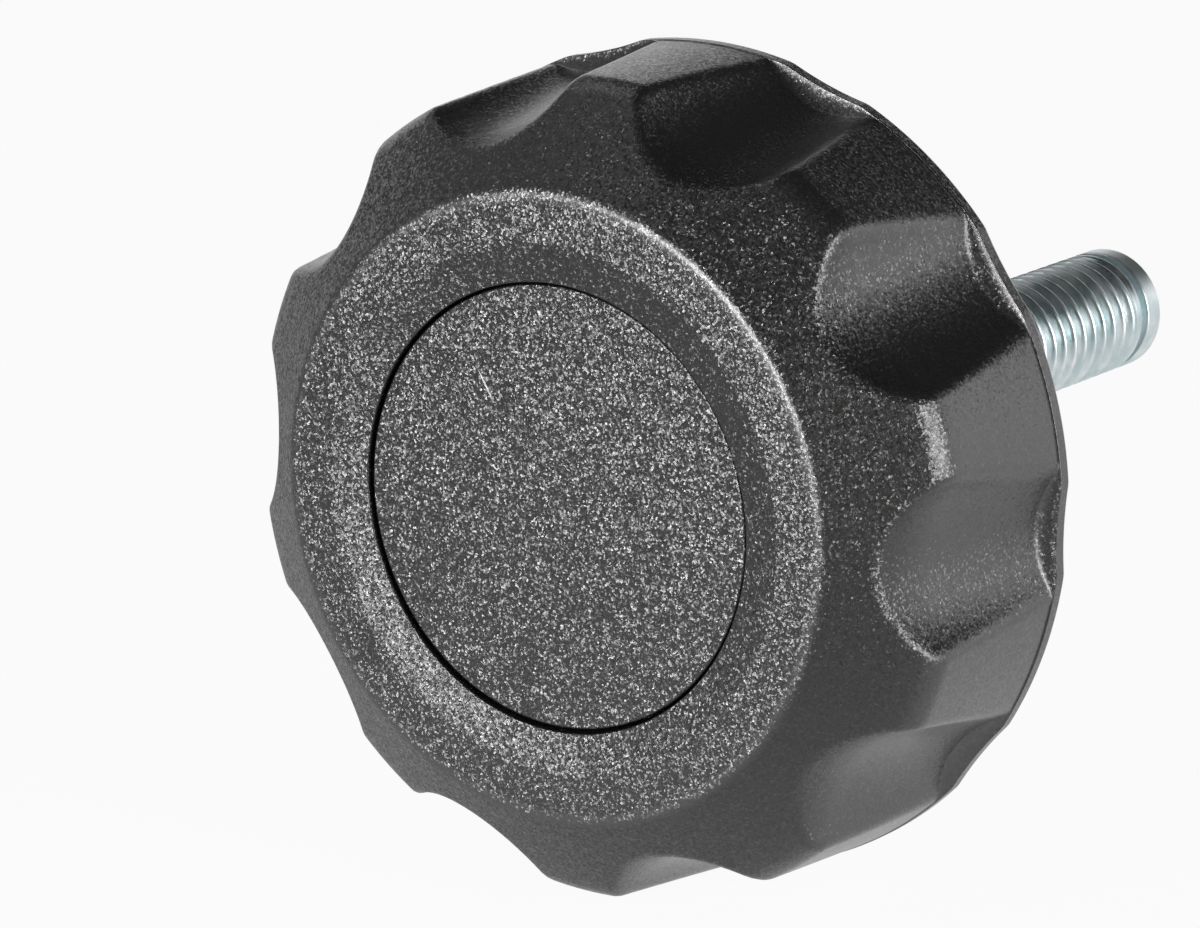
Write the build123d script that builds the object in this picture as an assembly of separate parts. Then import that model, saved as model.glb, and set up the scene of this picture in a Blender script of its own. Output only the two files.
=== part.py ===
from build123d import *
import math
import os

# Fluted clamping knob: a moulded grip, a centre cap in its face and a threaded steel stud.
# It is drawn about the Z axis with the rear seat plane at zero, the face towards -Z
# and the stud towards +Z, and is turned at the end so that the stud points along +Y.

# Grip: radii step inwards from the rim, and setbacks run from the seat plane to the face
rim_radius = 25.1
rim_draft = 0.5
shoulder_width = 5.85
ring_width = 3.05
dish_width = 2.35
ring_setback = 16.5
shoulder_drop = 4.45
dish_drop = 0.45
ring_edge_round = 0.8
shoulder_round = 2.0

# Flutes: straight round troughs that are deep at the shoulder and shallow at the rear
flute_count = 10
flute_radius = 7.5
flute_front_depth = 2.86
flute_rear_depth = 1.25
flute_edge_chamfer = 0.75

# Rear lip behind the flutes, with a shallow dip in its outline at each flute
lip_thickness = 0.95
lip_step = 0.06
lip_dip = 0.3
lip_dip_radius = 25.0

# Rear coring with a hub and ribs
core_wall = 3.85
face_web = 5.4
hub_wall = 1.9
rib_count = 5
rib_thickness = 1.8
rib_setback = 2.0

# Centre cap and the recess that it snaps into
cap_gap = 0.25
cap_inset = 0.6
cap_thickness = 1.6
cap_edge_chamfer = 0.2
skirt_inset = 3.2
skirt_wall = 1.3
skirt_length = 2.4
skirt_clearance = 0.1
skirt_end_gap = 0.4

# Stud: thread crests, reduced shank and head held in the hub, retaining-ring groove and tip
thread_diameter = 7.9
shank_diameter = 7.2
stud_reach = 48.5
bore_clearance = 0.05
head_sides = 6
head_across_flats = 13.0
head_height = 5.3
head_clearance = 0.1
head_chamfer = 0.5
groove_diameter = 6.0
groove_width = 0.8
tip_land = 2.4
tip_chamfer = 0.9

# Reach of every cut past the face that it opens
overrun = 1.0

# Radii and setbacks that follow from the sizes above
shoulder_radius = rim_radius - rim_draft
ring_edge_radius = shoulder_radius - shoulder_width
ring_flat_radius = ring_edge_radius - ring_width
bore_radius = ring_flat_radius - dish_width
cap_radius = bore_radius - cap_gap
skirt_radius = cap_radius - skirt_inset
pocket_radius = skirt_radius + skirt_clearance
core_radius = rim_radius - flute_rear_depth - core_wall
pocket_across_flats = head_across_flats + 2 * head_clearance
hub_radius = pocket_across_flats / 2 / math.cos(math.pi / head_sides) + hub_wall
thread_radius = thread_diameter / 2
shank_radius = shank_diameter / 2
shoulder_setback = ring_setback - shoulder_drop
cap_setback = ring_setback - cap_inset
recess_setback = cap_setback - cap_thickness
head_top_setback = recess_setback - skirt_length - skirt_end_gap
head_seat_setback = head_top_setback - head_height
core_depth = recess_setback - face_web
flute_pitch = 360 / flute_count


def grip_blank() -> Part:
    """Grip before fluting: drafted rim, rounded conical shoulder and flat face, turned as one profile."""
    outline = Polyline(
        (0, -lip_thickness),
        (rim_radius, -lip_thickness),
        (shoulder_radius, -shoulder_setback),
        (ring_edge_radius, -ring_setback),
        (0, -ring_setback),
        close=True,
    )
    profile = make_face(Plane.XZ * outline)
    ring_corner = profile.vertices().sort_by_distance((ring_edge_radius, 0, -ring_setback))[0]
    profile = fillet(ring_corner, ring_edge_round)
    shoulder_corner = profile.vertices().sort_by_distance((shoulder_radius, 0, -shoulder_setback))[0]
    return revolve(fillet(shoulder_corner, shoulder_round), Axis.Z)


def flute_cutter() -> Part:
    """Round bar laid along one flute's floor, overrunning both ends."""
    front = Vector(shoulder_radius - flute_front_depth, 0, -shoulder_setback)
    rear = Vector(rim_radius - flute_rear_depth, 0, -lip_thickness)
    along = (rear - front).normalized()
    outward = along.cross(Vector(0, -1, 0))
    reach = flute_radius + shoulder_drop
    centre = front + outward * flute_radius - along * reach
    section = Plane(origin=centre, x_dir=outward, z_dir=along) * Circle(flute_radius)
    return extrude(section, (rear - front).length + 2 * reach)


def fluted_grip() -> Part:
    """Grip with its flutes cut and their rims bevelled, apart from their rear ends."""
    cutter = flute_cutter()
    grip = grip_blank()
    grip -= [Rot(0, 0, number * flute_pitch) * cutter for number in range(flute_count)]
    rims = [
        edge
        for flute in grip.faces().filter_by(GeomType.CYLINDER)
        for edge in flute.edges()
        if edge.center().Z < -lip_thickness - overrun
    ]
    return chamfer(ShapeList(rims), flute_edge_chamfer)


def lip() -> Part:
    """Thin rear lip that closes the flutes."""
    radius = rim_radius + lip_step
    dips = PolarLocations(radius - lip_dip + lip_dip_radius, flute_count) * Circle(lip_dip_radius)
    return extrude(Circle(radius) - dips, -lip_thickness)


def face_recess() -> Part:
    """Space turned out of the face: the ring's dished inner band, the cap's seat and its skirt's pocket."""
    outline = Polyline(
        (0, -head_top_setback),
        (pocket_radius, -head_top_setback),
        (pocket_radius, -recess_setback),
        (bore_radius, -recess_setback),
        (bore_radius, dish_drop - ring_setback),
        (ring_flat_radius + dish_width, -ring_setback - dish_drop),
        (0, -ring_setback - dish_drop),
        close=True,
    )
    return revolve(make_face(Plane.XZ * outline), Axis.Z)


def rear_core() -> Part:
    """Space cored out of the rear around the hub, between the ribs."""
    ring = Circle(core_radius) - Circle(hub_radius)
    space = extrude(ring, -core_depth) + extrude(ring, overrun)
    rib = Pos((hub_radius + core_radius) / 2, 0, -rib_setback) * Box(
        core_radius,
        rib_thickness,
        core_depth,
        align=(Align.CENTER, Align.CENTER, Align.MAX),
    )
    first = flute_pitch / 2
    ribs = [Rot(0, 0, first + number * 360 / rib_count) * rib for number in range(rib_count)]
    return space - ribs


def head_prism(across_flats: float, height: float) -> Part:
    """Hexagonal prism that stands on the head's seat and grows towards the face."""
    hexagon = RegularPolygon(across_flats / 2, head_sides, major_radius=False)
    return extrude(Pos(0, 0, -head_seat_setback) * hexagon, -height)


def knob_body() -> Part:
    """Moulded grip with its face recess, its rear coring, the head's pocket and the stud's bore."""
    body = fluted_grip() + lip()
    body -= face_recess()
    body -= rear_core()
    body -= head_prism(pocket_across_flats, head_height + overrun)
    bore = Pos(0, 0, -head_seat_setback - overrun) * Circle(shank_radius + bore_clearance)
    body -= extrude(bore, head_seat_setback + 2 * overrun)
    return body


def centre_cap() -> Part:
    """Flat cap with a snap skirt behind it."""
    disc = extrude(Pos(0, 0, -recess_setback) * Circle(cap_radius), -cap_thickness)
    disc = chamfer(disc.faces().sort_by(Axis.Z)[0].edges(), cap_edge_chamfer)
    skirt = Circle(skirt_radius) - Circle(skirt_radius - skirt_wall)
    return disc + extrude(Pos(0, 0, -recess_setback) * skirt, skirt_length)


def threaded_stud() -> Part:
    """Hexagon-headed stud with a retaining-ring groove near its tip."""
    head = head_prism(head_across_flats, head_height)
    head = chamfer(head.faces().sort_by(Axis.Z)[0].edges(), head_chamfer)
    shank = extrude(Pos(0, 0, -head_seat_setback) * Circle(shank_radius), head_seat_setback)
    thread = extrude(Circle(thread_radius), stud_reach)
    thread = chamfer(thread.faces().sort_by(Axis.Z)[-1].edges(), tip_chamfer)
    groove = Circle(thread_diameter) - Circle(groove_diameter / 2)
    groove_start = stud_reach - tip_land - groove_width
    return head + shank + thread - extrude(Pos(0, 0, groove_start) * groove, groove_width)


nodes = {
    "knob_body": knob_body(),
    "centre_cap": centre_cap(),
    "threaded_stud": threaded_stud(),
}

os.makedirs("parts", exist_ok=True)
for name, piece in nodes.items():
    export_step(piece.rotate(Axis.X, -90), os.path.join("parts", name + ".step"))
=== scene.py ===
import logging
import math
from dataclasses import dataclass, field
from enum import Enum

import bpy
import numpy as np
from mathutils import Matrix, Vector


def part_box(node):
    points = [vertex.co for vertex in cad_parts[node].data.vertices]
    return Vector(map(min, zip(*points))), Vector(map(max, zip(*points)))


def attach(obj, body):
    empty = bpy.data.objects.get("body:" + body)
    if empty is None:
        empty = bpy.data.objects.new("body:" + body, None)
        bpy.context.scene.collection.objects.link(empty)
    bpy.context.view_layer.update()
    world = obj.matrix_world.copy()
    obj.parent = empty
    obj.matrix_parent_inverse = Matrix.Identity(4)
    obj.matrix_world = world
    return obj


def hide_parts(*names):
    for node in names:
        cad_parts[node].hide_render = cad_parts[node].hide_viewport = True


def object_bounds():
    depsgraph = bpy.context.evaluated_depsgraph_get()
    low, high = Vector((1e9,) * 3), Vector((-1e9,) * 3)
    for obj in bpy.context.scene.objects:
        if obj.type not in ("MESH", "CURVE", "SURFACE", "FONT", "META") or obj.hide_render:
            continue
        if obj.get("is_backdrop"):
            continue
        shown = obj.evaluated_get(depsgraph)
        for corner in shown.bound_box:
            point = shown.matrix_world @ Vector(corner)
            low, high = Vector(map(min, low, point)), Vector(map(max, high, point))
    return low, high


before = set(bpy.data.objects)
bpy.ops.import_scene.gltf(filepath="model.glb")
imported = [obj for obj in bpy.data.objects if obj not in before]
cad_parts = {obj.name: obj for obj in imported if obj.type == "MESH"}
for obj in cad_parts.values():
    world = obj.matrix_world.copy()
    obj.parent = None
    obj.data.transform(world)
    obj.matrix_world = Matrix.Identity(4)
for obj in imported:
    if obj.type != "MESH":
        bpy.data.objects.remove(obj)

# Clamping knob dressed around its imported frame: a grained black grip, a centre cap and a zinc-plated stud.
# Sizes are in millimetres. The knob's axis is Y, its face looks towards -Y, and a flute is centred on +X.

MM = 0.001
TURN = 2 * math.pi
BODY = "root"
HEAD_SIDES = 6
LOG = logging.getLogger("knob")

Array = np.ndarray
Point = tuple[float, float]
Point3 = tuple[float, float, float]
Colour = tuple[float, float, float]

WHITE: Colour = (1.0, 1.0, 1.0)


class Slot(Enum):
    """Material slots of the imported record."""

    GRIP = "grip_plastic"
    CAP = "cap_plastic"
    STUD = "zinc_steel"


class Node(Enum):
    """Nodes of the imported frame."""

    GRIP = "knob_body"
    CAP = "centre_cap"
    STUD = "threaded_stud"


def unit(vector: Array) -> Array:
    """Vector of length one along the given vector."""
    return vector / np.linalg.norm(vector)


def rounded_profile(points: list[Point], rounds: list[float], steps: int = 4, hold: float = 0.03) -> Array:
    """Open profile whose inner corners are rounded.

    Each corner is an arc tangent to both of its sides. From its start s to its end e, both measured
    from its middle, its points are (s sin(w - t) + e sin t) / sin w for turns t from 0 to its sweep w.
    One more point just past each end holds the arc, so that smooth shading stays inside it.

    Args:
        points: Radius and place along Y of each corner, in order.
        rounds: Radius of each corner's arc; the first and last points keep their place.
        steps: Arc points for each corner, less one.
        hold: Distance of the holding points from the arc's ends.

    Returns:
        Array of (radius, y) rows.
    """
    corners = np.array(points, float)
    rows = [corners[0]]
    for before, corner, after, size in zip(corners, corners[1:], corners[2:], rounds[1:]):
        towards, onwards = unit(before - corner), unit(after - corner)
        half = math.acos(float(np.clip(towards @ onwards, -1, 1))) / 2
        reach = size / math.tan(half)
        middle = corner + unit(towards + onwards) * size / math.sin(half)
        start, end = corner + towards * reach - middle, corner + onwards * reach - middle
        sweep = math.pi - 2 * half
        turns = np.linspace(0, 1, steps + 1)[:, None] * sweep
        arc = middle + (np.sin(sweep - turns) * start + np.sin(turns) * end) / math.sin(sweep)
        rows.extend([corner + towards * (reach + hold), *arc, corner + onwards * (reach + hold)])
    rows.append(corners[-1])
    return np.array(rows)


def round_meet(first: Array, second: Array, size: float) -> Array:
    """Signed distance to the meeting of two solids with a rounded edge between them.

    It is the larger of the two distances, and where both are closer than the size it is the
    distance to a quarter ellipse that is tangent to both surfaces. For surfaces that turn by
    an angle t at the edge, an edge of radius r has the size r * (1 - cos t).

    Args:
        first: Signed distance to one solid, negative inside.
        second: Signed distance to the other solid.
        size: Depth below one surface at which the edge starts on the other.

    Returns:
        Signed distance to what both solids share.
    """
    corner = np.hypot(np.maximum(first + size, 0), np.maximum(second + size, 0))
    return np.minimum(np.maximum(first, second), -size) + corner


def line_distance(radius: Array, along: Array, start: Point, end: Point) -> Array:
    """Signed distance in the turned section to a line, positive on the right of start to end."""
    run = unit(np.array(end) - np.array(start))
    return (radius - start[0]) * run[1] - (along - start[1]) * run[0]


def column_angles(columns: int) -> Array:
    """Angle of each grid column, evenly spaced once round the axis."""
    return np.arange(columns) * TURN / columns


def spun(profile: Array, columns: int) -> tuple[Array, Array]:
    """Grids of radius and of place along the axis, for a profile spun once round the axis."""
    shape = (len(profile), columns)
    return np.broadcast_to(profile[:, :1], shape), np.broadcast_to(profile[:, 1:], shape)


def stacked(sections: list[tuple[Array, ...]]) -> list[Array]:
    """Grids of several sections put one after another, row by row."""
    return [np.concatenate(grids) for grids in zip(*sections)]


def hexagon_radius(flat: float, angle: Array) -> Array:
    """Hexagon's radius at each angle: flat / cos a, with a measured from the middle of the nearest flat."""
    return flat / np.cos(angle % (TURN / HEAD_SIDES) - TURN / HEAD_SIDES / 2)


@dataclass(frozen=True)
class GridMesh:
    """Mesh made from a grid of points: rows follow a profile, and columns go once round the axis.

    Angles are given for each column, or for each point.
    """

    name: str
    radius: Array
    along: Array
    angle: Array
    closed_profile: bool = False
    first_pole: bool = False
    last_pole: bool = False

    def points(self) -> Array:
        """Grid points in metres: x = r cos a, y as given and z = r sin a, for radius r and angle a.

        Returns:
            Array of rows by columns by three.
        """
        x = self.radius * np.cos(self.angle)
        z = self.radius * np.sin(self.angle)
        return np.stack([x, self.along, z], axis=-1) * MM

    def faces(self) -> tuple[Array, list[list[int]]]:
        """Faces of the grid.

        Returns:
            Quads as an array of corners, and the triangles that close the poles.
        """
        rows, columns = self.radius.shape
        index = np.arange(rows * columns).reshape(rows, columns)
        following = np.roll(index, -1, axis=1)
        low, high = index[:-1], index[1:]
        low_next, high_next = following[:-1], following[1:]
        if self.closed_profile:
            low, low_next = index, following
            high, high_next = np.roll(index, -1, axis=0), np.roll(following, -1, axis=0)
        quads = np.stack([low, high, high_next, low_next], axis=-1).reshape(-1, 4)
        fans = []
        if self.first_pole:
            pole = np.full(columns, rows * columns)
            fans += np.stack([pole, index[0], following[0]], axis=-1).tolist()
        if self.last_pole:
            pole = np.full(columns, rows * columns + int(self.first_pole))
            fans += np.stack([pole, following[-1], index[-1]], axis=-1).tolist()
        return quads, fans

    def build(self) -> bpy.types.Object:
        """Mesh object at the origin, shaded smooth.

        Returns:
            The new object, linked to the scene.
        """
        points = self.points()
        vertices = [points.reshape(-1, 3)]
        for wanted, row in ((self.first_pole, 0), (self.last_pole, -1)):
            if wanted:
                vertices.append(np.array([[0, points[row, 0, 1], 0]]))
        quads, fans = self.faces()
        mesh = bpy.data.meshes.new(self.name)
        mesh.from_pydata(np.concatenate(vertices).tolist(), [], quads.tolist() + fans)
        mesh.polygons.foreach_set("use_smooth", np.ones(len(mesh.polygons), bool))
        mesh.update()
        made = bpy.data.objects.new(self.name, mesh)
        bpy.context.scene.collection.objects.link(made)
        return made


@dataclass
class Value:
    """Output socket of a node, with arithmetic that adds Math nodes."""

    tree: bpy.types.NodeTree
    socket: bpy.types.NodeSocket

    def math(self, operation: str, first: "Number", second: "Number") -> "Value":
        """Math node on two numbers or sockets.

        Args:
            operation: The Math node's operation.
            first: Upper input.
            second: Lower input.

        Returns:
            The node's result.
        """
        node = self.tree.nodes.new("ShaderNodeMath")
        node.operation = operation
        for place, item in zip(node.inputs, (first, second)):
            if isinstance(item, Value):
                self.tree.links.new(item.socket, place)
            else:
                place.default_value = item
        return Value(self.tree, node.outputs[0])

    def __add__(self, other: "Number") -> "Value":
        """Sum."""
        return self.math("ADD", self, other)

    def __radd__(self, other: "Number") -> "Value":
        """Sum with the number first."""
        return self.math("ADD", other, self)

    def __sub__(self, other: "Number") -> "Value":
        """Difference."""
        return self.math("SUBTRACT", self, other)

    def __rsub__(self, other: "Number") -> "Value":
        """Difference with the number first."""
        return self.math("SUBTRACT", other, self)

    def __mul__(self, other: "Number") -> "Value":
        """Product."""
        return self.math("MULTIPLY", self, other)

    def __rmul__(self, other: "Number") -> "Value":
        """Product with the number first."""
        return self.math("MULTIPLY", other, self)

    def __pow__(self, other: "Number") -> "Value":
        """Power."""
        return self.math("POWER", self, other)

    def __rpow__(self, other: "Number") -> "Value":
        """Power with the number first."""
        return self.math("POWER", other, self)

    def larger(self, other: "Number") -> "Value":
        """Larger of the two."""
        return self.math("MAXIMUM", self, other)


Number = Value | float
Input = Value | float | tuple[float, ...]

# Sockets that go by number, because their names repeat within the node
MIX_FACTOR = 0
MIX_FIRST_COLOUR = 6
MIX_SECOND_COLOUR = 7
MIX_COLOUR = 2
VECTOR_FIRST = 0
VECTOR_SECOND = 1
VECTOR_SCALE = 3


class Shader:
    """Node tree of one material or of the world."""

    def __init__(self, tree: bpy.types.NodeTree) -> None:
        """Starts from an empty tree."""
        self.tree = tree
        tree.nodes.clear()

    def node(
        self,
        kind: str,
        settings: dict[str, object] | None = None,
        inputs: dict[str | int, Input] | None = None,
    ) -> bpy.types.Node:
        """New node.

        Args:
            kind: Node type, less its ShaderNode prefix.
            settings: Properties to set before the sockets.
            inputs: Values or links by socket name or number.

        Returns:
            The node.
        """
        made = self.tree.nodes.new("ShaderNode" + kind)
        for name, setting in (settings or {}).items():
            setattr(made, name, setting)
        for place, item in (inputs or {}).items():
            if isinstance(item, Value):
                self.tree.links.new(item.socket, made.inputs[place])
            else:
                made.inputs[place].default_value = item
        return made

    def value(self, made: bpy.types.Node, output: str | int = 0) -> Value:
        """Output of a node as a value."""
        return Value(self.tree, made.outputs[output])

    def coordinates(self) -> Value:
        """Object coordinates, in metres."""
        return self.value(self.node("TexCoord"), "Object")

    def axes(self, place: Value) -> tuple[Value, Value, Value]:
        """Coordinates taken apart.

        Args:
            place: Coordinates in metres.

        Returns:
            Places along X, Y and Z.
        """
        apart = self.node("SeparateXYZ", {}, {0: place})
        return self.value(apart, "X"), self.value(apart, "Y"), self.value(apart, "Z")

    def noise(self, place: Value, size: float, detail: float = 2.0, roughness: float = 0.5) -> Value:
        """Noise from 0 to 1 whose features are about the given size across.

        Args:
            place: Coordinates in metres.
            size: Feature size in millimetres.
            detail: Octaves of finer noise.
            roughness: Strength of the finer octaves.

        Returns:
            The noise value.
        """
        inputs = {"Vector": place, "Scale": 1 / (size * MM), "Detail": detail, "Roughness": roughness}
        return self.value(self.node("TexNoise", {"normalize": True}, inputs), "Fac")

    def mapped(self, item: Value, start: float, end: float, low: float, high: float) -> Value:
        """Item carried from the start-end range to the low-high range, clamped."""
        inputs = {"Value": item, "From Min": start, "From Max": end, "To Min": low, "To Max": high}
        return self.value(self.node("MapRange", {"clamp": True}, inputs))

    def vector(self, operation: str, first: Input, second: Input = (0, 0, 0), scale: Number = 1.0) -> Value:
        """Vector Math node on two vectors, or on one and a scale."""
        inputs = {VECTOR_FIRST: first, VECTOR_SECOND: second, VECTOR_SCALE: scale}
        return self.value(self.node("VectorMath", {"operation": operation}, inputs))

    def blend(self, factor: Value, first: Value | Colour, second: Colour) -> Value:
        """Colour between two colours.

        Args:
            factor: 0 for the first colour and 1 for the second.
            first: A colour, or a colour socket.
            second: A colour.

        Returns:
            The blended colour.
        """
        inputs = {
            MIX_FACTOR: factor,
            MIX_FIRST_COLOUR: first if isinstance(first, Value) else (*first, 1.0),
            MIX_SECOND_COLOUR: (*second, 1.0),
        }
        return self.value(self.node("Mix", {"data_type": "RGBA"}, inputs), MIX_COLOUR)

    def bump(self, height: Value, strength: float, distance: float) -> Value:
        """Normal tilted by a height from 0 to 1 over a distance in millimetres."""
        made = self.node("Bump", {}, {"Strength": strength, "Distance": distance * MM, "Height": height})
        return self.value(made)

    def surface(self, inputs: dict[str | int, Input]) -> None:
        """Principled surface with these inputs, joined to the output."""
        made = self.node("BsdfPrincipled", {}, inputs)
        self.output(self.value(made), "OutputMaterial")

    def output(self, item: Value, kind: str) -> None:
        """Joins a shader to the tree's output."""
        self.node(kind, {}, {"Surface": item})


def new_shader(name: str) -> tuple[bpy.types.Material, Shader]:
    """Empty node material.

    Args:
        name: The material's name.

    Returns:
        The material and its shader.
    """
    material = bpy.data.materials.new(name)
    material.use_nodes = True
    return material, Shader(material.node_tree)


@dataclass(frozen=True)
class GrainedPlastic:
    """Black moulded plastic with the fine pitted grain that a spark-eroded mould leaves."""

    name: str
    # Colours of pits and crests, and gloss
    dark: Colour = (0.0026, 0.0027, 0.0027)
    light: Colour = (0.0118, 0.0116, 0.0112)
    gloss: float = 1.0
    roughness: Point = (0.25, 0.42)
    # Grain: soft unevenness and tilted facets
    grain: float = 0.25
    grain_detail: float = 2.0
    grain_finer: float = 0.6
    grain_depth: float = 0.045
    crest_range: Point = (0.42, 0.66)
    facet: float = 0.125
    facet_tilt: float = 0.45
    # Slicker sides, from these places along Y towards the rear
    rear_fade: Point = (-13.5, -10.5)
    rear_tilt_share: float = 0.8
    rear_slick: float = 0.9
    slick_roughness: float = 0.32
    # Worn outer edge of the face ring
    worn_radius: float = 18.5
    worn_half: float = 0.5
    worn_slick: float = 1.0
    worn_fade: Point = (-16.2, -15.7)

    def colour(self, shader: Shader, place: Value, crest: Value) -> Value:
        """Colour that is paler on the grain's crests."""
        return shader.blend(crest, self.dark, self.light)

    def wear(self, shader: Shader, place: Value) -> Value:
        """Smoothness of the face ring's outer edge, where hands have rubbed it.

        It is 1 - d squared, where d is the distance from the edge's radius over the band's half-width.

        Args:
            shader: The material's shader.
            place: Object coordinates.

        Returns:
            Weight of the smooth skin.
        """
        across, along, up = shader.axes(place)
        radius = (across * across + up * up) ** 0.5
        apart = (radius - self.worn_radius * MM) * (1 / (self.worn_half * MM))
        band = shader.mapped(apart * apart, 0.0, 1.0, self.worn_slick, 0.0)
        return band * shader.mapped(along, self.worn_fade[0] * MM, self.worn_fade[1] * MM, 1.0, 0.0)

    def material(self) -> bpy.types.Material:
        """Material whose grain is made of small facets, each tilted its own way, over a soft unevenness.

        The sides slid along the mould as it opened, so their facets lie flatter under a slick skin.

        Returns:
            The material.
        """
        made, shader = new_shader(self.name)
        place = shader.coordinates()
        height = shader.noise(place, self.grain, self.grain_detail, self.grain_finer)
        crest = shader.mapped(height, *self.crest_range, 0.0, 1.0)
        facets = shader.node("TexVoronoi", {}, {"Vector": place, "Scale": 1 / (self.facet * MM)})
        centred = shader.vector("SUBTRACT", shader.value(facets, "Color"), (0.5, 0.5, 0.5))
        along = shader.axes(place)[1]
        rear = shader.mapped(along, self.rear_fade[0] * MM, self.rear_fade[1] * MM, 0.0, 1.0)
        lean = self.facet_tilt * (1 - rear * (1 - self.rear_tilt_share))
        tilt = shader.vector("SCALE", centred, scale=lean)
        uneven = shader.bump(height, 1.0, self.grain_depth)
        shader.surface({
            "Base Color": self.colour(shader, place, crest),
            "Roughness": shader.mapped(crest, 0.0, 1.0, self.roughness[1], self.roughness[0]),
            "Specular IOR Level": self.gloss,
            "Coat Weight": (rear * self.rear_slick).larger(self.wear(shader, place)),
            "Coat Roughness": self.slick_roughness,
            "Normal": shader.vector("NORMALIZE", shader.vector("ADD", uneven, tilt)),
        })
        return made


@dataclass(frozen=True)
class ScratchedPlastic(GrainedPlastic):
    """Grained plastic with one short pale scratch, whose ends are places across and up the face."""

    scratch_start: Point = (-5.74, 7.49)
    scratch_end: Point = (-4.47, 5.57)
    scratch_half: float = 0.07
    scratch_fade: float = 0.6
    pale: Colour = (0.55, 0.55, 0.55)

    def colour(self, shader: Shader, place: Value, crest: Value) -> Value:
        """Colour of the grain, and pale inside a long thin oval scratch.

        The oval is where d squared is less than 4 s (1 - s). There s runs from 0 to 1 along the scratch,
        and d is the distance from its middle line over its half-width.

        Args:
            shader: The material's shader.
            place: Object coordinates.
            crest: The grain's crests, from 0 to 1.

        Returns:
            The colour.
        """
        x, _, z = shader.axes(place)
        across = x - self.scratch_start[0] * MM
        up = z - self.scratch_start[1] * MM
        run = np.subtract(self.scratch_end, self.scratch_start)
        length = float(np.linalg.norm(run))
        cosine, sine = (float(part) / length for part in run)
        share = (across * cosine + up * sine) * (1 / (length * MM))
        aside = (across * sine - up * cosine) * (1 / (self.scratch_half * MM))
        inside = 4 * share * (1 - share) - aside * aside
        mark = shader.mapped(inside, 0.0, self.scratch_fade, 0.0, 1.0)
        return shader.blend(mark, super().colour(shader, place, crest), self.pale)


@dataclass(frozen=True)
class ZincPlate:
    """Bright zinc plating, slightly blue, with soft clouds in its gloss."""

    name: str
    bright: Colour = (0.9, 0.95, 0.965)
    dull: Colour = (0.63, 0.75, 0.77)
    roughness: Point = (0.27, 0.42)
    dullness_range: Point = (0.5, 1.0)
    cloud: float = 1.6
    cloud_detail: float = 3.0
    cloud_range: Point = (0.35, 0.65)
    grit: float = 0.12
    grit_detail: float = 2.0
    grit_share: float = 0.5
    grit_strength: float = 0.35
    grit_depth: float = 0.01

    def material(self) -> bpy.types.Material:
        """Metal whose colour and gloss drift in clouds over a fine grit.

        Returns:
            The material.
        """
        made, shader = new_shader(self.name)
        place = shader.coordinates()
        clouds = shader.noise(place, self.cloud, self.cloud_detail)
        grit = shader.noise(place, self.grit, self.grit_detail)
        shine = shader.mapped(clouds, *self.cloud_range, 0.0, 1.0)
        dullness = clouds + grit * self.grit_share
        shader.surface({
            "Base Color": shader.blend(shine, self.dull, self.bright),
            "Metallic": 1.0,
            "Roughness": shader.mapped(dullness, *self.dullness_range, *self.roughness),
            "Normal": shader.bump(grit, self.grit_strength, self.grit_depth),
        })
        return made


def dress(piece: bpy.types.Object, node: Node, material: bpy.types.Material) -> None:
    """Puts a finished piece in the place of its node.

    Args:
        piece: The new piece.
        node: Node that it stands for.
        material: Its material.
    """
    piece.data.materials.append(material)
    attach(piece, BODY)
    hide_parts(node.value)
    LOG.info("%s: %d faces, replaces %s", piece.name, len(piece.data.polygons), node.value)


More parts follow.
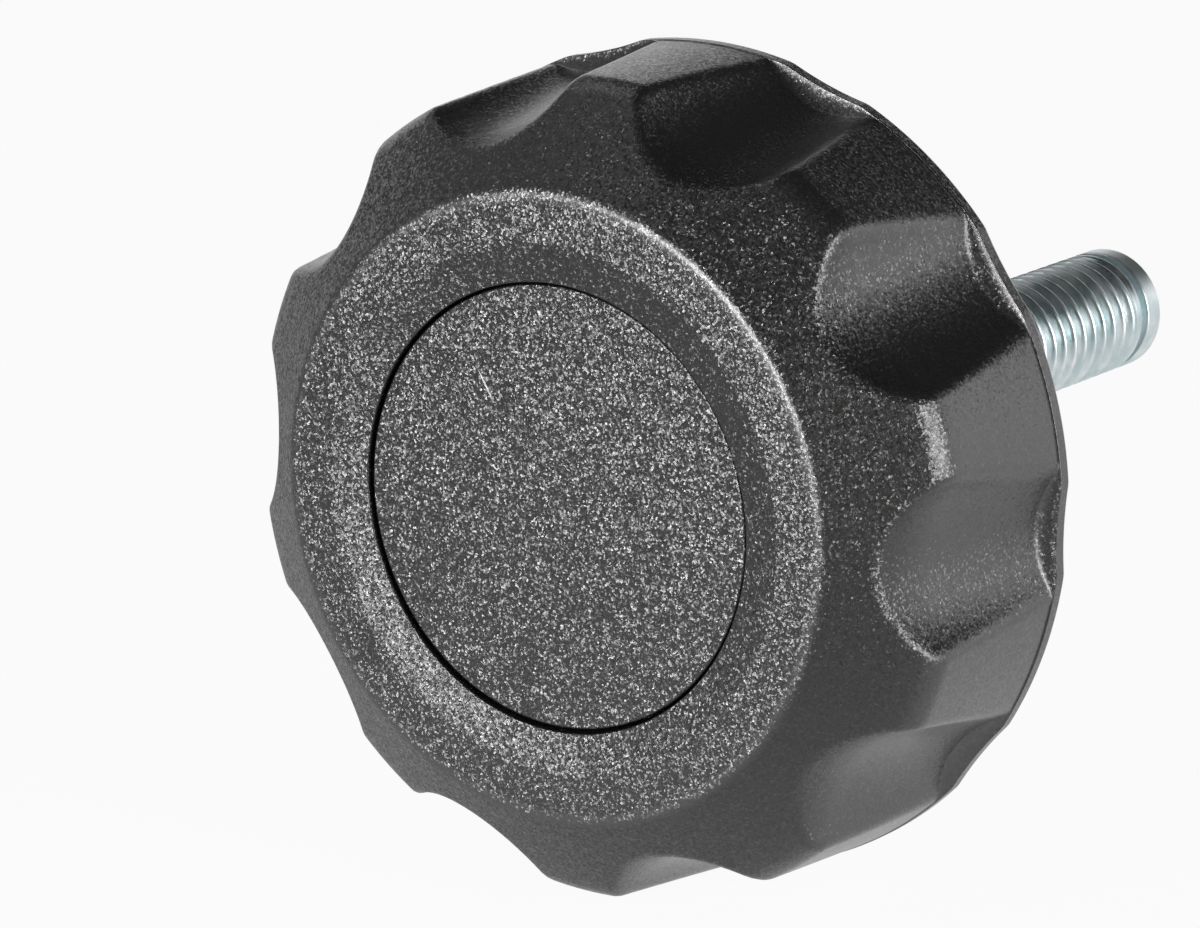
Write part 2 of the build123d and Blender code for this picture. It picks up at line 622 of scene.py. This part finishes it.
@dataclass
class Grip:
    """Moulded grip: ringed face, conical shoulder, ten flutes, rear lip, coring, hub and ribs."""

    finish: GrainedPlastic
    # Rim, shoulder and ring
    rim_radius: float = 25.1
    rim_draft: float = 0.5
    shoulder_width: float = 5.85
    shoulder_drop: float = 4.45
    shoulder_round: float = 0.85
    ring_width: float = 3.05
    ring_edge_round: float = 0.17
    ring_edge_reach: float = 0.9
    dish_width: float = 2.35
    dish_drop: float = 0.45
    dish_edge_round: float = 0.08
    dish_bend_round: float = 2.0
    # Flutes
    flute_count: int = 10
    flute_radius: float = 7.5
    flute_front_depth: float = 2.86
    flute_rear_depth: float = 1.25
    flute_edge_round: float = 0.33
    # Rear lip
    lip_thickness: float = 0.95
    lip_step: float = 0.05
    lip_dip: float = 0.3
    lip_dip_radius: float = 25.0
    lip_hold: float = 0.01
    # Coring, hub and ribs
    core_wall: float = 3.85
    core_depth: float = 8.9
    hub_radius: float = 9.52
    rib_count: int = 5
    rib_half: float = 0.9
    rib_draft: float = 0.05
    rib_setback: float = 2.0
    # Cap recess, skirt pocket, head pocket and bore
    recess_setback: float = 14.3
    pocket_radius: float = 10.0
    pocket_setback: float = 11.5
    head_flat: float = 6.6
    head_setback: float = 6.2
    bore_radius: float = 3.65
    # Small edges, each with a flat land beside it
    small_round: float = 0.2
    edge_land: float = 1.0
    # Grid
    columns: int = 600
    rib_columns: int = 9
    side_rows: int = 90
    front_row_share: float = 0.7
    front_overlap: float = 1.5
    ray_reach: float = 1.1
    halvings: int = 40
    # Worked out from the sizes above and the frame
    face: float = field(init=False)
    shoulder_radius: float = field(init=False)
    shoulder_along: float = field(init=False)
    ring_edge: float = field(init=False)
    ring_flat: float = field(init=False)
    recess_radius: float = field(init=False)
    core_radius: float = field(init=False)
    pitch: float = field(init=False)
    angle: Array = field(init=False)

    def __post_init__(self) -> None:
        """Works out radii and setbacks from the sizes, and the face's place from the frame."""
        low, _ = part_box(Node.GRIP.value)
        self.face = low.y / MM
        self.shoulder_radius = self.rim_radius - self.rim_draft
        self.shoulder_along = self.face + self.shoulder_drop
        self.ring_edge = self.shoulder_radius - self.shoulder_width
        self.ring_flat = self.ring_edge - self.ring_width
        self.recess_radius = self.ring_flat - self.dish_width
        self.core_radius = self.rim_radius - self.flute_rear_depth - self.core_wall
        self.pitch = TURN / self.flute_count
        self.angle = column_angles(self.columns)

    def from_flute(self, angle: Array) -> Array:
        """Angle from the middle of the nearest flute."""
        return (angle + self.pitch / 2) % self.pitch - self.pitch / 2

    def flute_distance(self, radius: Array, along: Array, angle: Array) -> Array:
        """Signed distance to the material beside the nearest flute.

        The flute is a round bar whose floor runs straight from the shoulder to the lip, so the
        distance is the bar's radius less the distance from the bar's axis.

        Args:
            radius: Distance from the knob's axis.
            along: Place along the knob's axis.
            angle: Angle about the knob's axis.

        Returns:
            Signed distance, positive inside the flute.
        """
        folded = self.from_flute(angle)
        front = (self.shoulder_radius - self.flute_front_depth, self.shoulder_along)
        rear = (self.rim_radius - self.flute_rear_depth, -self.lip_thickness)
        above_floor = line_distance(radius * np.cos(folded), along, front, rear)
        across = radius * np.sin(folded)
        return self.flute_radius - np.hypot(above_floor - self.flute_radius, across)

    def solid_distance(self, radius: Array, along: Array, angle: Array) -> Array:
        """Signed distance to the fluted grip.

        Rim, shoulder and face meet in rounded edges, and the flutes are taken out with rounded rims.

        Args:
            radius: Distance from the knob's axis.
            along: Place along the knob's axis.
            angle: Angle about the knob's axis.

        Returns:
            Signed distance, negative inside.
        """
        shoulder = (self.shoulder_radius, self.shoulder_along)
        rim = line_distance(radius, along, shoulder, (self.rim_radius, -self.lip_thickness))
        cone = line_distance(radius, along, (self.ring_edge, self.face), shoulder)
        turned = round_meet(rim, cone, self.shoulder_round)
        turned = round_meet(turned, self.face - along, self.ring_edge_round)
        return round_meet(turned, self.flute_distance(radius, along, angle), self.flute_edge_round)

    def side(self) -> tuple[Array, Array]:
        """Fluted side from the ring to the lip.

        Rays fan out from a ring inside the rim, and halving finds where each one leaves the solid.
        Most rows lie on the ring's edge and the shoulder, where the flutes end.

        Returns:
            Radius and place along the axis of each grid point.
        """
        pivot = np.array([self.core_radius / 2, self.shoulder_along / 2])
        corners = np.array([
            (self.ring_edge - self.ring_edge_reach, self.face),
            (self.ring_edge, self.face),
            (self.shoulder_radius, self.shoulder_along),
            (self.rim_radius, -self.lip_thickness),
        ])
        lengths = np.r_[0, np.cumsum(np.linalg.norm(np.diff(corners, axis=0), axis=1))]
        shares = np.linspace(0, 1, self.side_rows)
        ends = [0, lengths[2] + self.front_overlap, lengths[-1]]
        stations = np.interp(shares, [0, self.front_row_share, 1], ends)
        guide = np.stack([np.interp(stations, lengths, corners[:, axis]) for axis in (0, 1)], axis=-1)
        rays = guide - pivot
        near = np.zeros((self.side_rows, self.columns))
        far = np.full((self.side_rows, self.columns), self.ray_reach)
        for _ in range(self.halvings):
            middle = (near + far) / 2
            radius = pivot[0] + rays[:, :1] * middle
            along = pivot[1] + rays[:, 1:] * middle
            inside = self.solid_distance(radius, along, self.angle) < 0
            near = np.where(inside, middle, near)
            far = np.where(inside, far, middle)
        return pivot[0] + rays[:, :1] * near, pivot[1] + rays[:, 1:] * near

    def lip(self) -> tuple[Array, Array]:
        """Rear lip: a thin plate whose outline dips in a shallow arc at each flute.

        The dip is where a ray at angle a meets a circle of radius d whose middle lies at distance c
        on the flute's own ray: c cos a - sqrt(d squared - (c sin a) squared).

        Returns:
            Radius and place along the axis of each grid point.
        """
        folded = self.from_flute(self.angle)
        outer = self.rim_radius + self.lip_step
        centre = outer - self.lip_dip + self.lip_dip_radius
        dip = centre * np.cos(folded) - np.sqrt(self.lip_dip_radius**2 - (centre * np.sin(folded)) ** 2)
        outline = np.minimum(outer, dip)
        land, front = -self.edge_land, -self.lip_thickness
        edge = rounded_profile(
            [(land, front), (0, front), (0, 0), (land, 0)],
            [0, self.lip_step, self.small_round, 0],
            steps=2,
            hold=self.lip_hold,
        )[1:-1]
        return outline + edge[:, :1], spun(edge, self.columns)[1]

    def coring(self) -> tuple[Array, Array, Array]:
        """Cored rear: a ring-shaped space between hub and rim, where ribs stop short of the seat plane.

        Columns beside a rib follow its parallel sides, at the angle arcsin(half thickness / radius) from
        its middle, and the rib's own columns go only as deep as its edge.

        Returns:
            Radius, place along the axis and angle of each grid point.
        """
        profile = rounded_profile(
            [
                (self.core_radius + self.edge_land, 0),
                (self.core_radius, 0),
                (self.core_radius, -self.core_depth),
                (self.hub_radius, -self.core_depth),
                (self.hub_radius, 0),
                (self.hub_radius - self.edge_land, 0),
            ],
            [0, self.small_round, self.small_round, self.small_round, self.small_round, 0],
            steps=2,
        )
        radius, along = (grid.copy() for grid in spun(profile, self.columns))
        sector = self.columns // self.rib_count
        rib = self.rib_columns
        place = np.arange(self.columns) % sector
        on_rib = place < rib
        half = np.arcsin((self.rib_half + np.where(on_rib, 0, self.rib_draft)) / radius)
        sector_angle = TURN / self.rib_count
        share = np.where(on_rib, place / (rib - 1), (place - rib) / (sector - rib - 1))
        local = np.where(on_rib, half * (2 * share - 1), half + share * (sector_angle - 2 * half))
        first = -self.pitch / 2
        angle = first + (np.arange(self.columns) // sector) * sector_angle + local
        along[:, on_rib] *= self.rib_setback / self.core_depth
        return radius, along, angle

    def hub_inside(self) -> tuple[Array, Array]:
        """Bore, hexagon pocket and cap recess, from the hub's rear face back to the dish.

        Returns:
            Radius and place along the axis of each grid point.
        """
        size = self.small_round
        bore = rounded_profile(
            [
                (self.bore_radius + self.edge_land, 0),
                (self.bore_radius, 0),
                (self.bore_radius, -self.head_setback),
                (self.bore_radius + self.edge_land, -self.head_setback),
            ],
            [0, size, size, 0],
            steps=1,
        )
        flat = hexagon_radius(self.head_flat, self.angle)
        hexagon = np.array([(0, -self.head_setback), (0, -self.pocket_setback)])
        recess = rounded_profile(
            [
                (self.pocket_radius - self.edge_land, -self.pocket_setback),
                (self.pocket_radius, -self.pocket_setback),
                (self.pocket_radius, -self.recess_setback),
                (self.recess_radius, -self.recess_setback),
                (self.recess_radius, self.face + self.dish_drop),
                (self.ring_flat, self.face),
                (self.ring_edge - self.ring_edge_reach, self.face),
            ],
            [0, size, size, size, self.dish_edge_round, self.dish_bend_round, 0],
            steps=3,
        )[:-1]
        radius, along = stacked([
            spun(bore, self.columns),
            (flat + hexagon[:, :1], spun(hexagon, self.columns)[1]),
            spun(recess, self.columns),
        ])
        return radius, along

    def with_angles(self, section: tuple[Array, Array]) -> tuple[Array, Array, Array]:
        """Section of evenly spaced columns, with the angle of each of its points."""
        return *section, np.broadcast_to(self.angle, section[0].shape)

    def build(self) -> bpy.types.Object:
        """Whole grip as one closed grid: side, lip, coring, bore and face in turn.

        Returns:
            The grip's object.
        """
        radius, along, angle = stacked([
            self.with_angles(self.side()),
            self.with_angles(self.lip()),
            self.coring(),
            self.with_angles(self.hub_inside()),
        ])
        return GridMesh("grip", radius, along, angle, closed_profile=True).build()

    def dress(self, piece: bpy.types.Object) -> None:
        """Finishes the grip in grained plastic."""
        dress(piece, Node.GRIP, self.finish.material())


@dataclass
class CentreCap:
    """Flat cap with a snap skirt, set into the grip's face."""

    finish: GrainedPlastic
    thickness: float = 1.6
    edge_round: float = 0.14
    play: Point = (0.06, 0.06)
    moulded_growth: float = 0.07
    skirt_radius: float = 9.9
    skirt_wall: float = 1.3
    small_round: float = 0.15
    columns: int = 240
    middle_share: float = 1 / 24

    def build(self) -> bpy.types.Object:
        """Cap turned from one profile, from the middle of its face round to the middle of its back.

        It sits a little to one side of its recess, within the gap round it.

        Returns:
            The cap's object.
        """
        low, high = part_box(Node.CAP.value)
        radius = (high.x - low.x) / 2 / MM + self.moulded_growth
        face, skirt_end = low.y / MM, high.y / MM
        back = face + self.thickness
        middle = radius * self.middle_share
        skirt_inner = self.skirt_radius - self.skirt_wall
        profile = rounded_profile(
            [
                (middle, face),
                (radius, face),
                (radius, back),
                (self.skirt_radius, back),
                (self.skirt_radius, skirt_end),
                (skirt_inner, skirt_end),
                (skirt_inner, back),
                (middle, back),
            ],
            [0, self.edge_round] + [self.small_round] * 5 + [0],
        )
        radius_grid, along_grid = spun(profile, self.columns)
        angle = column_angles(self.columns)
        piece = GridMesh("cap", radius_grid, along_grid, angle, first_pole=True, last_pole=True).build()
        sideways, upwards = self.play
        piece.data.transform(Matrix.Translation(Vector((sideways, 0, upwards)) * MM))
        return piece

    def dress(self, piece: bpy.types.Object) -> None:
        """Finishes the cap in grained plastic."""
        dress(piece, Node.CAP, self.finish.material())


@dataclass
class ThreadedStud:
    """Hexagon-headed stud with a rolled thread, a retaining-ring groove and a chamfered tip."""

    finish: ZincPlate
    thread_radius: float = 3.95
    root_radius: float = 3.2
    pitch: float = 1.25
    thread_end: float = 43.6
    run_out: float = 1.2
    shank_radius: float = 3.6
    head_flat: float = 6.5
    head_seat: float = -6.2
    head_chamfer: float = 0.5
    groove_radius: float = 3.0
    groove_width: float = 0.8
    tip_land: float = 2.4
    tip_chamfer: float = 0.9
    small_round: float = 0.12
    crest_share: float = 1 / 14
    root_share: float = 3 / 8
    flank_ease: float = 0.35
    tip_middle_share: float = 0.25
    columns: int = 96
    rows_per_pitch: int = 18

    def thread(self, angle: Array) -> tuple[Array, Array]:
        """Right-hand thread: flat crests and roots joined by eased flanks, running out towards the groove.

        At angle a and place y, the distance from a crest is pitch * |(y / pitch + a / turn) mod 1 - 1/2|,
        and the thread's depth rises with it from the crest's flat to the root's.

        Args:
            angle: Angle of each column.

        Returns:
            Radius and place along the axis of each grid point.
        """
        along = np.arange(0, self.thread_end + self.run_out, self.pitch / self.rows_per_pitch)[:, None]
        phase = along / self.pitch + angle / TURN
        from_crest = np.abs(phase % 1 - 0.5) * self.pitch
        flank_start, flank_end = self.pitch * self.crest_share, self.pitch * self.root_share
        depth = np.clip((from_crest - flank_start) / (flank_end - flank_start), 0, 1)
        depth = depth * depth * (3 - 2 * depth) * self.flank_ease + depth * (1 - self.flank_ease)
        fade = np.clip((self.thread_end + self.run_out - along) / self.run_out, 0, 1)
        radius = self.thread_radius - (self.thread_radius - self.root_radius) * depth * fade
        return radius, np.broadcast_to(along, radius.shape)

    def build(self) -> bpy.types.Object:
        """Stud as one grid from the middle of its head to the middle of its tip.

        Returns:
            The stud's object.
        """
        low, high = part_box(Node.STUD.value)
        head_top, tip = low.y / MM, high.y / MM
        angle = column_angles(self.columns)
        flat = hexagon_radius(self.head_flat, angle)
        size = self.small_round
        head = np.array([
            (-self.head_flat / 2, head_top),
            (-self.head_chamfer, head_top),
            (0, head_top + self.head_chamfer),
            (0, self.head_seat),
        ])
        shank = rounded_profile(
            [(self.head_flat, self.head_seat), (self.shank_radius, self.head_seat), (self.shank_radius, 0)],
            [0, size, 0],
        )[1:]
        groove_end = tip - self.tip_land
        groove_start = groove_end - self.groove_width
        end = rounded_profile(
            [
                (self.thread_radius, self.thread_end + self.run_out),
                (self.thread_radius, groove_start),
                (self.groove_radius, groove_start),
                (self.groove_radius, groove_end),
                (self.thread_radius, groove_end),
                (self.thread_radius, tip - self.tip_chamfer),
                (self.thread_radius - self.tip_chamfer, tip),
                (self.thread_radius * self.tip_middle_share, tip),
            ],
            [0] + [size] * 6 + [0],
        )[1:]
        radius, along = stacked([
            (flat + head[:, :1], spun(head, self.columns)[1]),
            spun(shank, self.columns),
            self.thread(angle),
            spun(end, self.columns),
        ])
        return GridMesh("stud", radius, along, angle, first_pole=True, last_pole=True).build()

    def dress(self, piece: bpy.types.Object) -> None:
        """Finishes the stud in zinc plate."""
        dress(piece, Node.STUD, self.finish.material())


@dataclass(frozen=True)
class Lamp:
    """Soft oblong lamp: its place, width and height in millimetres, power, and turn about its own axis."""

    name: str
    place: Point3
    size: Point
    watts: float
    lean_degrees: float = 0.0

    def build(self, target: Point3) -> None:
        """Adds the lamp, unseen by the camera.

        Args:
            target: Point that it faces, in millimetres.
        """
        light = bpy.data.lights.new(self.name, "AREA")
        light.shape = "RECTANGLE"
        light.size, light.size_y = (side * MM for side in self.size)
        light.energy = self.watts
        lamp = bpy.data.objects.new(self.name, light)
        facing = (Vector(target) - Vector(self.place)).to_track_quat("-Z", "Y").to_matrix().to_4x4()
        turned = facing @ Matrix.Rotation(math.radians(self.lean_degrees), 4, "Z")
        lamp.matrix_world = Matrix.Translation(Vector(self.place) * MM) @ turned
        lamp.visible_camera = False
        bpy.context.scene.collection.objects.link(lamp)
        LOG.info("%s lamp", self.name)


# The grain glints in the front lamp, and the leaning strip draws the ring's edge
LAMPS = (
    Lamp("front", place=(-132, -376, 20), size=(105, 105), watts=0.77),
    Lamp("strip", place=(-56, -404, 52), size=(200, 40), watts=0.95, lean_degrees=-42),
    Lamp("right", place=(480, -55, 85), size=(250, 250), watts=1.9),
    Lamp("top", place=(-250, -220, 320), size=(300, 300), watts=0.1),
    Lamp("overhead", place=(-230, 40, 350), size=(150, 150), watts=0.1),
)


@dataclass
class Studio:
    """White floor, soft lamps and the photograph's camera."""

    # Light
    lamps: tuple[Lamp, ...] = LAMPS
    lamp_target: Point3 = (0.0, -8.0, 0.0)
    ambient: float = 0.03
    # Floor and backdrop
    floor_radius: float = 3000.0
    floor_middle: float = 1.0
    floor_columns: int = 96
    floor_keep: float = 0.94
    backdrop_height: float = 1150.0
    backdrop_bend: float = 300.0
    bend_steps: int = 12
    matt: Colour = (0.9, 0.9, 0.9)
    # Painted reflection: in glossy rays the floor glows pale grey where it lies flat, and dim grey in front
    # of the knob in place of a dim room
    painted_pale_reflection: Colour = (0.71, 0.71, 0.71)
    painted_dim_reflection: Colour = (0.155, 0.15, 0.145)
    dim_reflection_reach: Point = (10.0, 80.0)
    # Camera
    camera_place: Point3 = (190.35, -289.53, 95.47)
    camera_forward: Point3 = (-0.5441, 0.7951, -0.2679)
    camera_right: Point3 = (0.8204, 0.5711, 0.0289)
    lens: float = 180.0
    sensor: float = 36.0

    def floor(self) -> None:
        """Pale floor under the rim that curves up into a low backdrop all round.

        The camera sees it white, less a share of the knob's shadow.
        """
        low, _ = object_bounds()
        level = low.z / MM
        profile = rounded_profile(
            [
                (self.floor_middle, level),
                (self.floor_radius, level),
                (self.floor_radius, level + self.backdrop_height),
            ],
            [0, self.backdrop_bend, 0],
            steps=self.bend_steps,
        )
        radius, along = spun(profile, self.floor_columns)
        angle = column_angles(self.floor_columns)
        floor = GridMesh("floor", radius, along, angle, first_pole=True).build()
        floor.data.transform(Matrix.Rotation(math.pi / 2, 4, "X"))
        floor.data.materials.append(self.floor_finish(level))
        floor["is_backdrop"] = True

    def floor_finish(self, level: float) -> bpy.types.Material:
        """Floor that is white for the camera and less so in reflections.

        Its glow in reflections is a painted reflection: white on the backdrop, pale grey on the flat floor
        beside and behind the knob, and dim grey in front of it in place of a dim room.

        Args:
            level: The floor's height, in millimetres.

        Returns:
            The material.
        """
        material, shader = new_shader("white_floor")
        paths = shader.node("LightPath")
        mirrored = shader.value(paths, "Is Glossy Ray")
        _, along, height = shader.axes(shader.coordinates())
        near, far = (-reach * MM for reach in self.dim_reflection_reach)
        front = shader.mapped(along, far, near, 1.0, 0.0)
        flat = shader.mapped(height, level * MM, (level + self.backdrop_bend) * MM, 1.0, 0.0)
        seen = (shader.value(paths, "Is Camera Ray") * self.floor_keep).larger(mirrored)
        seen = seen.larger(shader.value(paths, "Is Transmission Ray"))
        # Painted reflection, seen in glossy rays only: pale grey on the flat floor and dim grey in front of
        # the knob
        painted_pale_reflection = shader.blend(mirrored * flat, WHITE, self.painted_pale_reflection)
        shade = shader.blend(mirrored * front, painted_pale_reflection, self.painted_dim_reflection)
        matt = shader.node("BsdfDiffuse", {}, {"Color": (*self.matt, 1.0)})
        glow = shader.node("Emission", {}, {"Color": shade, "Strength": 1.0})
        mixed = shader.node("MixShader", {}, {0: seen, 1: shader.value(matt), 2: shader.value(glow)})
        shader.output(shader.value(mixed), "OutputMaterial")
        return material

    def world(self) -> None:
        """Even dim surroundings."""
        world = bpy.data.worlds.new("surroundings")
        world.use_nodes = True
        shader = Shader(world.node_tree)
        shade = shader.node("Background", {}, {"Color": (*WHITE, 1.0), "Strength": self.ambient})
        shader.output(shader.value(shade), "OutputWorld")
        bpy.context.scene.world = world

    def camera(self) -> None:
        """Camera at the photograph's place, with its slight roll."""
        data = bpy.data.cameras.new("camera")
        data.lens = self.lens
        data.sensor_width = self.sensor
        camera = bpy.data.objects.new("camera", data)
        forward = Vector(self.camera_forward).normalized()
        right = Vector(self.camera_right)
        right = (right - right.project(forward)).normalized()
        up = right.cross(forward)
        turned = Matrix((right, up, -forward)).transposed().to_4x4()
        camera.matrix_world = Matrix.Translation(Vector(self.camera_place) * MM) @ turned
        bpy.context.scene.collection.objects.link(camera)
        bpy.context.scene.camera = camera

    def build(self) -> None:
        """Sets the floor, lamps, world, camera and plain view."""
        self.floor()
        for lamp in self.lamps:
            lamp.build(self.lamp_target)
        self.world()
        self.camera()
        bpy.context.scene.view_settings.view_transform = "Standard"


def main() -> None:
    """Builds and dresses each piece in turn, then the studio."""
    logging.basicConfig(level=logging.INFO, format="%(name)s %(message)s")
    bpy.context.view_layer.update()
    pieces = (
        Grip(GrainedPlastic("grip_grain")),
        CentreCap(ScratchedPlastic("cap_grain")),
        ThreadedStud(ZincPlate("zinc_plate")),
    )
    for part in pieces:
        part.dress(part.build())
    Studio().build()


if __name__ == "__main__":
    main()
